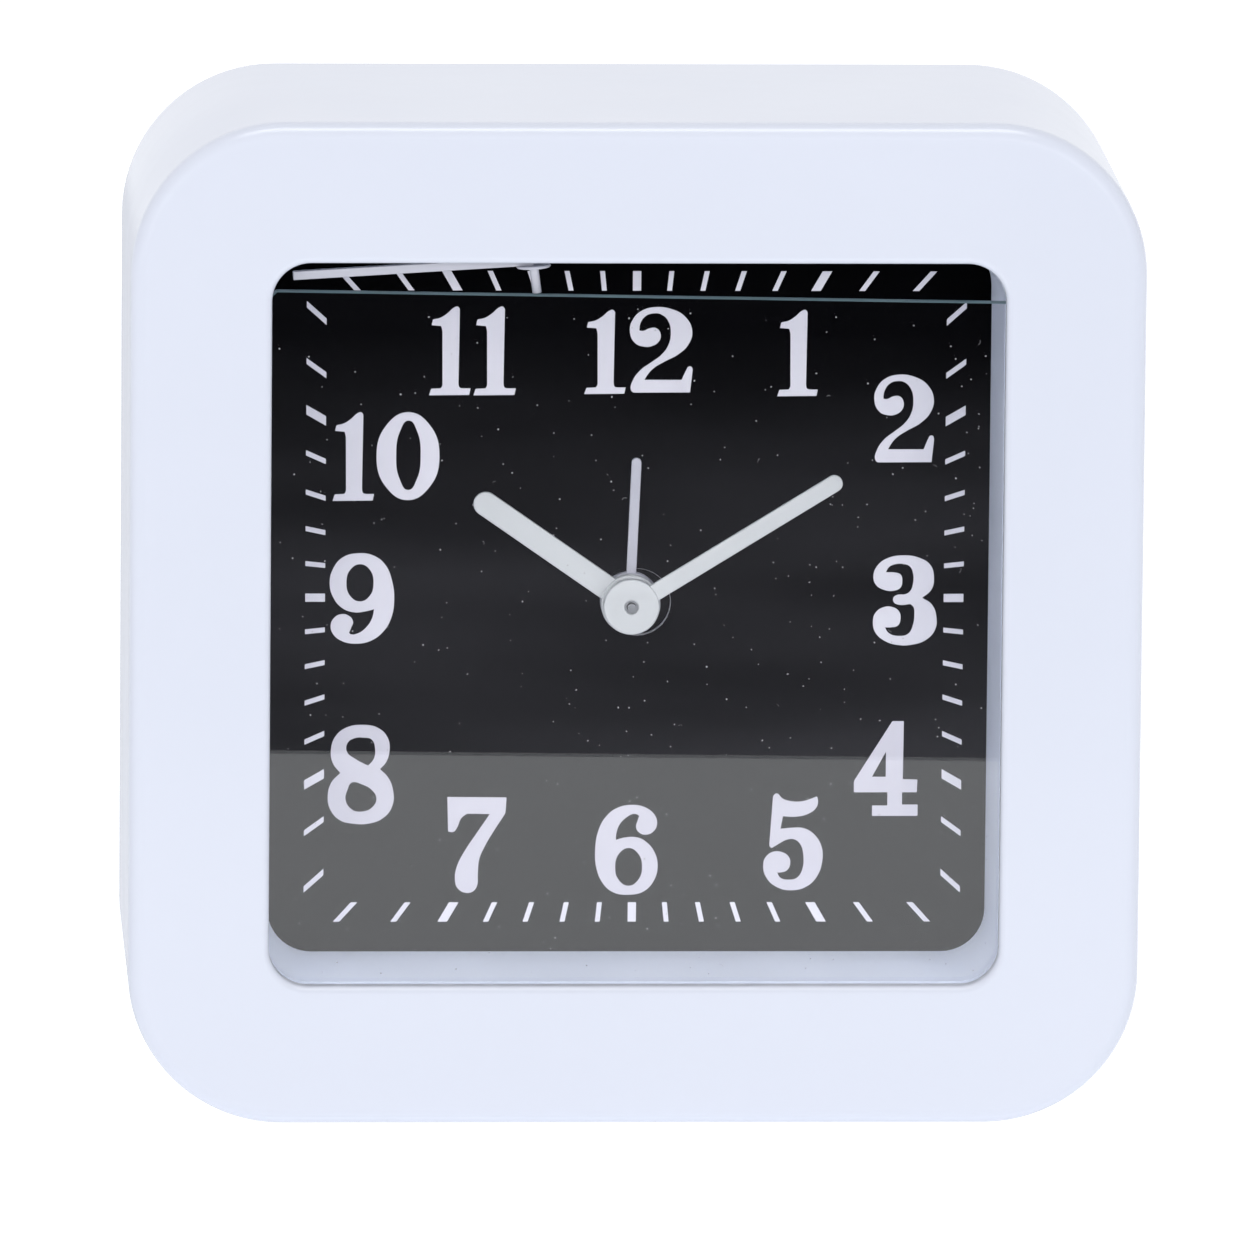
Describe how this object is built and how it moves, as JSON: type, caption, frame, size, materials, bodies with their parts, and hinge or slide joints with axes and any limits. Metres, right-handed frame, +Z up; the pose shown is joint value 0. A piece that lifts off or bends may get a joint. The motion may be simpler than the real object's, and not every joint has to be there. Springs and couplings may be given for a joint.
{
  "type": "analog alarm clock",
  "caption": "Square white tabletop analog alarm clock with a deep black dial behind flat glass, plain baton hands, rear setting knobs and a battery door.",
  "frame": {"origin": "centre of the object's box at the height of the face that it stands on", "axes": "+X to the right as seen from the front, +Y from the dial to the back, +Z up"},
  "size_m": [0.112, 0.0544, 0.112],
  "materials": {
    "case_plastic": "gloss moulded ABS",
    "frame_plastic": "satin moulded polystyrene",
    "clear_glass": "flat clear glass with sawn edges",
    "dial_black": "black printed sheet",
    "hand_white": "off-white moulded plastic",
    "gear_plastic": "natural acetal",
    "dark_plastic": "black moulded plastic",
    "grey_plastic": "grey moulded plastic",
    "brass": "turned brass",
    "steel": "zinc-plated steel",
    "magnet": "sintered ferrite",
    "copper": "enamelled copper wire",
    "board_green": "lacquered laminate",
    "cell_sleeve": "plain printed sleeve on a steel can"
  },
  "bodies": {
    "clock": {"front_case": "case_plastic", "front_glass": "clear_glass", "dial_frame": "frame_plastic", "dial": "dial_black", "second_hand": "hand_white", "movement_plate": "dark_plastic", "movement_box": "dark_plastic", "center_bush": "dark_plastic", "stator": "steel", "coil_bobbin": "gear_plastic", "coil_winding": "copper", "circuit_board": "board_green", "quartz_crystal": "steel", "chip_cap": "dark_plastic", "alarm_contact": "brass", "buzzer": "dark_plastic", "back_cover": "case_plastic", "battery": "cell_sleeve", "positive_contact": "steel", "negative_contact": "steel", "case_screws": "steel", "frame_screws": "steel", "movement_screws": "steel", "box_screws": "steel"},
    "minute": {"minute_pipe": "steel", "minute_hand": "hand_white"},
    "hour": {"hour_wheel": "gear_plastic", "hour_hand": "hand_white"},
    "time_setting": {"motion_wheel": "gear_plastic", "time_knob": "case_plastic"},
    "alarm_setting": {"alarm_pinion": "gear_plastic", "alarm_knob": "case_plastic"},
    "alarm": {"alarm_wheel": "gear_plastic", "alarm_hand": "hand_white"},
    "rotor": {"rotor": "magnet"},
    "intermediate": {"intermediate_wheel": "gear_plastic"},
    "seconds": {"seconds_wheel": "gear_plastic"},
    "third": {"third_wheel": "gear_plastic"},
    "center": {"center_wheel": "gear_plastic"},
    "alarm_switch": {"alarm_switch": "grey_plastic"},
    "battery_door": {"battery_door": "case_plastic"}
  },
  "joints": [
    {"name": "minute_spin", "type": "hinge", "parent": "clock", "child": "minute", "pos_m": [0, 0, 0.056], "axis": [0, 1, 0], "continuous": true},
    {"name": "hour_spin", "type": "hinge", "parent": "clock", "child": "hour", "pos_m": [0, 0, 0.056], "axis": [0, 1, 0], "continuous": true},
    {"name": "time_knob_spin", "type": "hinge", "parent": "clock", "child": "time_setting", "pos_m": [0.0125, 0, 0.056], "axis": [0, 1, 0], "continuous": true},
    {"name": "alarm_knob_spin", "type": "hinge", "parent": "clock", "child": "alarm_setting", "pos_m": [-0.01018, 0, 0.06618], "axis": [0, 1, 0], "continuous": true},
    {"name": "alarm_hand_spin", "type": "hinge", "parent": "clock", "child": "alarm", "pos_m": [0, 0, 0.056], "axis": [0, 1, 0], "continuous": true},
    {"name": "rotor_spin", "type": "hinge", "parent": "clock", "child": "rotor", "pos_m": [-0.01973, 0, 0.04882], "axis": [0, 1, 0], "continuous": true},
    {"name": "intermediate_spin", "type": "hinge", "parent": "clock", "child": "intermediate", "pos_m": [-0.01184, 0, 0.05169], "axis": [0, 1, 0], "continuous": true},
    {"name": "seconds_spin", "type": "hinge", "parent": "clock", "child": "seconds", "pos_m": [0, 0, 0.056], "axis": [0, 1, 0], "continuous": true},
    {"name": "third_spin", "type": "hinge", "parent": "clock", "child": "third", "pos_m": [0, 0, 0.04376], "axis": [0, 1, 0], "continuous": true},
    {"name": "center_spin", "type": "hinge", "parent": "clock", "child": "center", "pos_m": [0, 0, 0.056], "axis": [0, 1, 0], "continuous": true},
    {"name": "alarm_switch_slide", "type": "slide", "parent": "clock", "child": "alarm_switch", "axis": [1, 0, 0], "range_m": [0, 0.004]},
    {"name": "battery_door_lift", "type": "slide", "parent": "clock", "child": "battery_door", "axis": [0, 1, 0], "range_m": [0, 0.02]}
  ],
  "couplings": [
    {"joint": "hour_spin", "follows": "minute_spin", "ratio": 0.083333},
    {"joint": "time_knob_spin", "follows": "minute_spin", "ratio": -0.25},
    {"joint": "alarm_hand_spin", "follows": "alarm_knob_spin", "ratio": -0.33333},
    {"joint": "intermediate_spin", "follows": "rotor_spin", "ratio": -0.16667},
    {"joint": "seconds_spin", "follows": "rotor_spin", "ratio": 0.033333},
    {"joint": "third_spin", "follows": "rotor_spin", "ratio": -0.0044444},
    {"joint": "center_spin", "follows": "rotor_spin", "ratio": 0.00055556}
  ]
}
